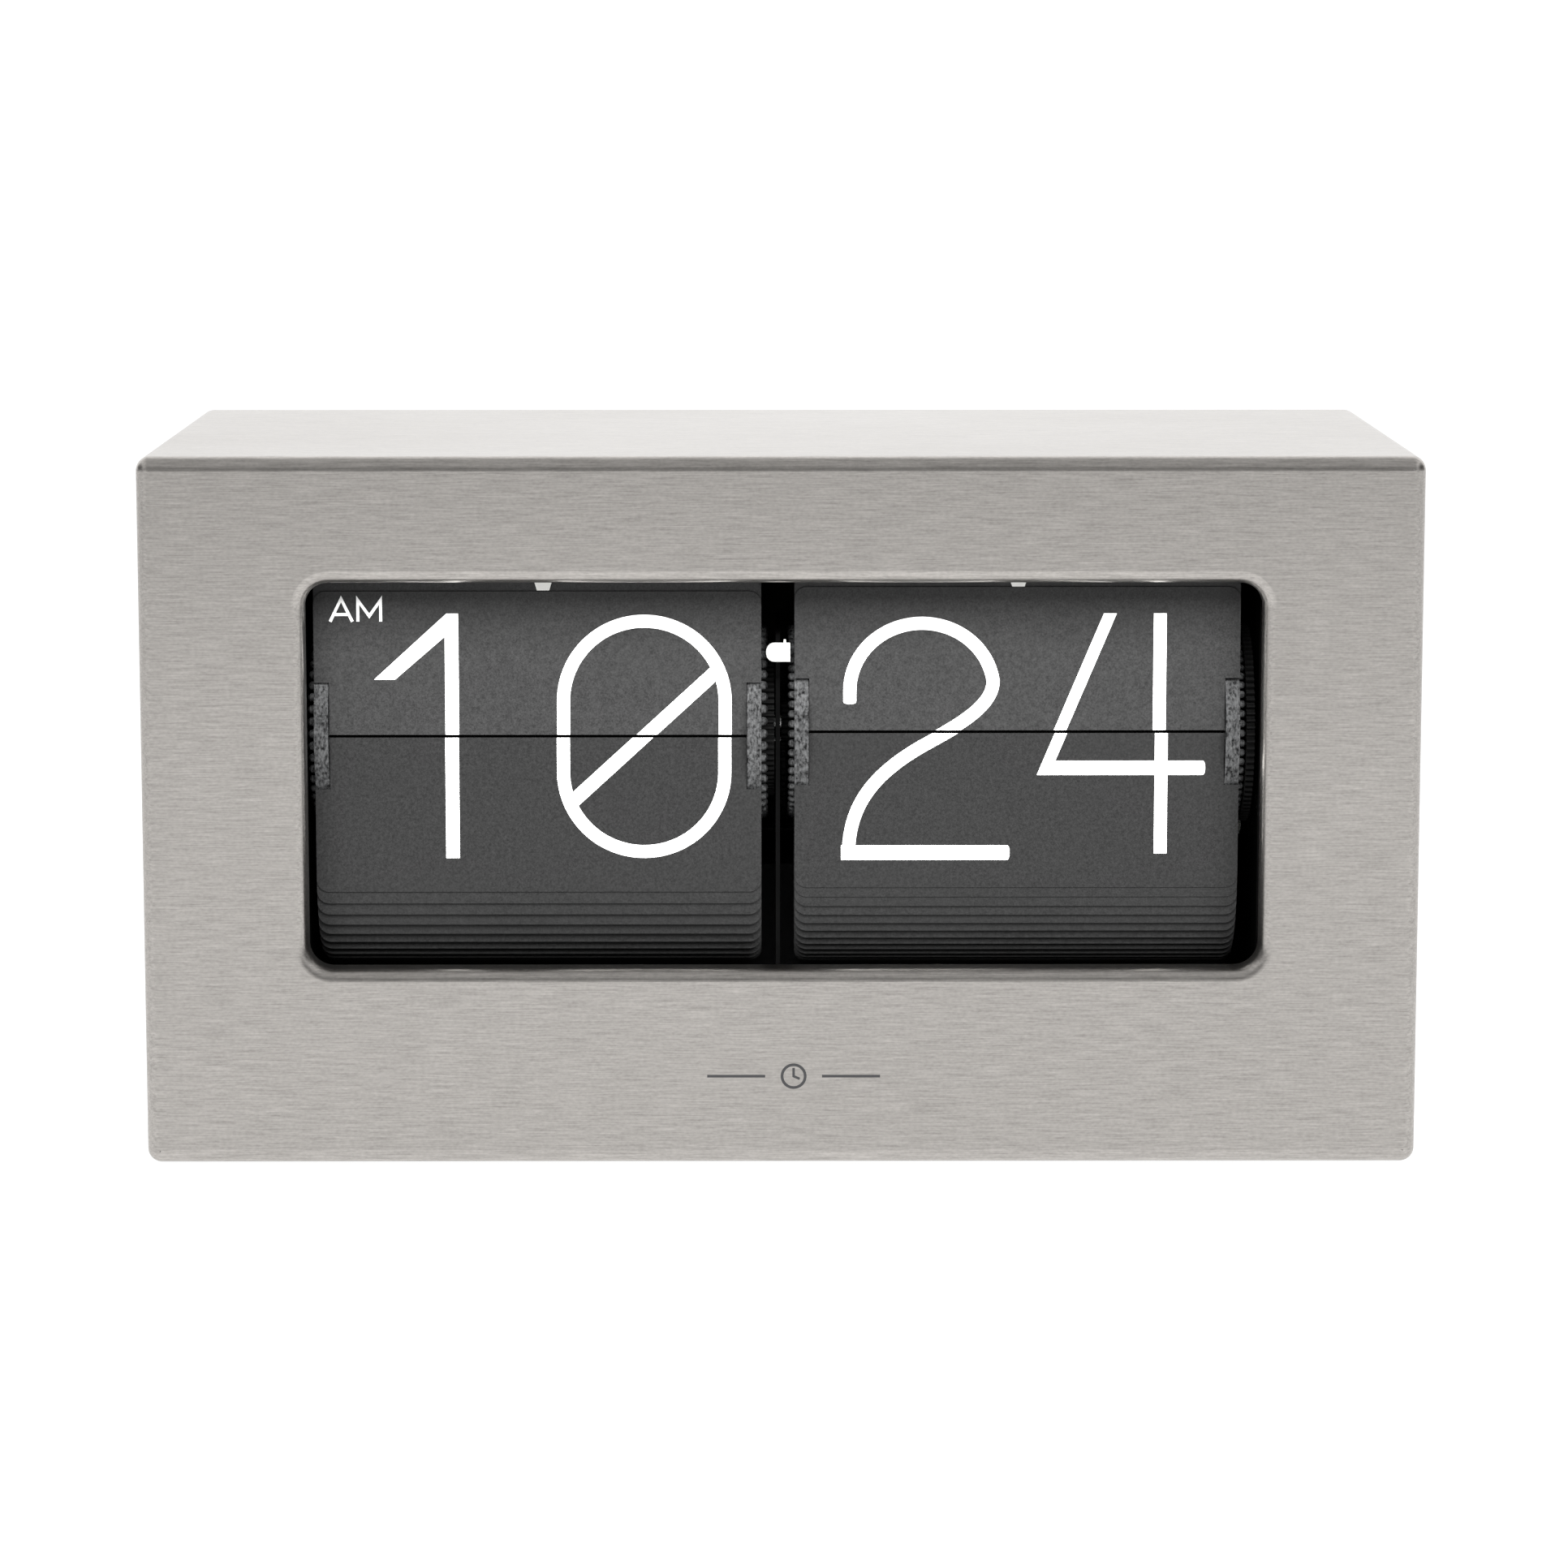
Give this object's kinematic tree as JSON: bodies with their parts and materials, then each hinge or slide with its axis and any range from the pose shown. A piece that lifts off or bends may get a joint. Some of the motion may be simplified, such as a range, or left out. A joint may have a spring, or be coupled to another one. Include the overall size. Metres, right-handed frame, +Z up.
{
  "type": "flip number clock",
  "caption": "Boxed flip clock: brushed steel case with an open window, hour and minute leaf drums, falling leaves, gear train, battery movement and rear setting wheel.",
  "frame": {"origin": "on the resting plane, below the middle of the clock", "axes": "+Z up, +X to the right seen from the front, the dial faces -Y"},
  "size_m": [0.206, 0.1, 0.116],
  "materials": {
    "brushed_steel": "horizontally brushed stainless steel, satin",
    "feet_rubber": "matte black rubber",
    "zinc_steel": "zinc plated steel",
    "plate_black": "matte black painted steel",
    "screws": "nickel plated screws",
    "axle_steel": "ground steel",
    "black_plastic": "finely grained black ABS",
    "drum_plastic": "dark grey moulded plastic",
    "gear_plastic": "black acetal",
    "leaf_film": "dark grey satin plastic film with white print",
    "white_nylon": "natural white nylon",
    "movement_plastic": "black moulded plastic",
    "contact_brass": "nickelled brass",
    "lead_red": "red insulation",
    "lead_black": "black insulation",
    "magnet": "bonded ferrite",
    "copper_wire": "enamelled copper winding",
    "board": "green laminate",
    "crystal_can": "drawn metal can",
    "chip_resin": "black resin"
  },
  "bodies": {
    "root": {"case_shell": "brushed_steel", "rubber_feet": "feet_rubber", "case_brackets": "zinc_steel", "chassis_studs": "zinc_steel", "chassis_nuts": "zinc_steel", "stator": "zinc_steel", "coil_core": "zinc_steel", "left_end_plate": "plate_black", "right_end_plate": "plate_black", "centre_plate": "plate_black", "catch_rail": "plate_black", "rear_cover_screws": "screws", "chassis_screws": "screws", "rail_screws": "screws", "movement_screws": "screws", "axle_clips": "screws", "main_axle": "axle_steel", "idler_post": "axle_steel", "rear_cover": "black_plastic", "battery_box": "black_plastic", "chassis_base": "black_plastic", "hour_leaves_upper": "leaf_film", "hour_leaves_lower": "leaf_film", "minute_leaves_upper": "leaf_film", "minute_leaves_lower": "leaf_film", "centre_guide_clip": "white_nylon", "hour_leaf_catch": "white_nylon", "minute_leaf_catch": "white_nylon", "movement_housing": "movement_plastic", "movement_cover": "movement_plastic", "battery_contact": "contact_brass", "battery_spring": "contact_brass", "battery_lead_red": "lead_red", "battery_lead_black": "lead_black", "motor_coil": "copper_wire", "circuit_board": "board", "quartz_crystal": "crystal_can", "control_chip": "chip_resin"},
    "hour_leaf": {"hour_leaf": "leaf_film"},
    "minute_leaf": {"minute_leaf": "leaf_film"},
    "hour_drum": {"hour_disc_left": "drum_plastic", "hour_disc_right": "drum_plastic", "hour_drum_core": "drum_plastic", "hour_gear": "gear_plastic"},
    "minute_drum": {"minute_disc_left": "drum_plastic", "minute_disc_right": "drum_plastic", "minute_drum_core": "drum_plastic", "minute_drive_gear": "gear_plastic", "minute_pinion": "gear_plastic"},
    "transfer": {"transfer_wheel": "gear_plastic", "transfer_arbor": "axle_steel", "transfer_pinion": "gear_plastic"},
    "output": {"output_wheel": "white_nylon"},
    "second": {"second_wheel": "white_nylon"},
    "rotor": {"rotor": "magnet"},
    "idler": {"setting_idler": "gear_plastic"},
    "setting": {"setting_gear": "gear_plastic", "setting_arbor": "axle_steel", "setting_thumbwheel": "gear_plastic"},
    "battery_door": {"battery_door": "black_plastic"}
  },
  "joints": [
    {"name": "hour_leaf_fall", "type": "hinge", "parent": "root", "child": "hour_leaf", "pos_m": [-0.0395, -0.03825, 0.0695], "axis": [1, 0, 0], "range_deg": [0, 178]},
    {"name": "minute_leaf_fall", "type": "hinge", "parent": "root", "child": "minute_leaf", "pos_m": [0.0384, -0.03825, 0.0702], "axis": [1, 0, 0], "range_deg": [0, 178]},
    {"name": "minute_drum_spin", "type": "hinge", "parent": "root", "child": "minute_drum", "pos_m": [0.0384, -0.0227, 0.06985], "axis": [1, 0, 0], "continuous": true},
    {"name": "hour_drum_spin", "type": "hinge", "parent": "root", "child": "hour_drum", "pos_m": [-0.0395, -0.0227, 0.06985], "axis": [1, 0, 0], "continuous": true},
    {"name": "transfer_spin", "type": "hinge", "parent": "root", "child": "transfer", "pos_m": [0, -0.00954, 0.06506], "axis": [1, 0, 0], "continuous": true},
    {"name": "output_spin", "type": "hinge", "parent": "root", "child": "output", "pos_m": [0.08, -0.01298, 0.05301], "axis": [1, 0, 0], "continuous": true},
    {"name": "second_wheel_spin", "type": "hinge", "parent": "root", "child": "second", "pos_m": [0.085, -0.01703, 0.043], "axis": [1, 0, 0], "continuous": true},
    {"name": "rotor_spin", "type": "hinge", "parent": "root", "child": "rotor", "pos_m": [0.085, -0.01892, 0.03227], "axis": [1, 0, 0], "continuous": true},
    {"name": "setting_idler_spin", "type": "hinge", "parent": "root", "child": "idler", "pos_m": [0.0764, 0.0097, 0.06985], "axis": [1, 0, 0], "continuous": true},
    {"name": "thumbwheel_spin", "type": "hinge", "parent": "root", "child": "setting", "pos_m": [0.087, 0.0349, 0.06985], "axis": [1, 0, 0], "continuous": true},
    {"name": "battery_door_slide", "type": "slide", "parent": "root", "child": "battery_door", "axis": [0, 1, 0], "range_m": [0, 0.015]}
  ],
  "couplings": [
    {"joint": "hour_drum_spin", "follows": "minute_drum_spin", "ratio": 0.041667},
    {"joint": "transfer_spin", "follows": "minute_drum_spin", "ratio": -0.25},
    {"joint": "output_spin", "follows": "minute_drum_spin", "ratio": -5},
    {"joint": "second_wheel_spin", "follows": "minute_drum_spin", "ratio": 25},
    {"joint": "setting_idler_spin", "follows": "minute_drum_spin", "ratio": -1},
    {"joint": "thumbwheel_spin", "follows": "minute_drum_spin", "ratio": 1.8}
  ]
}
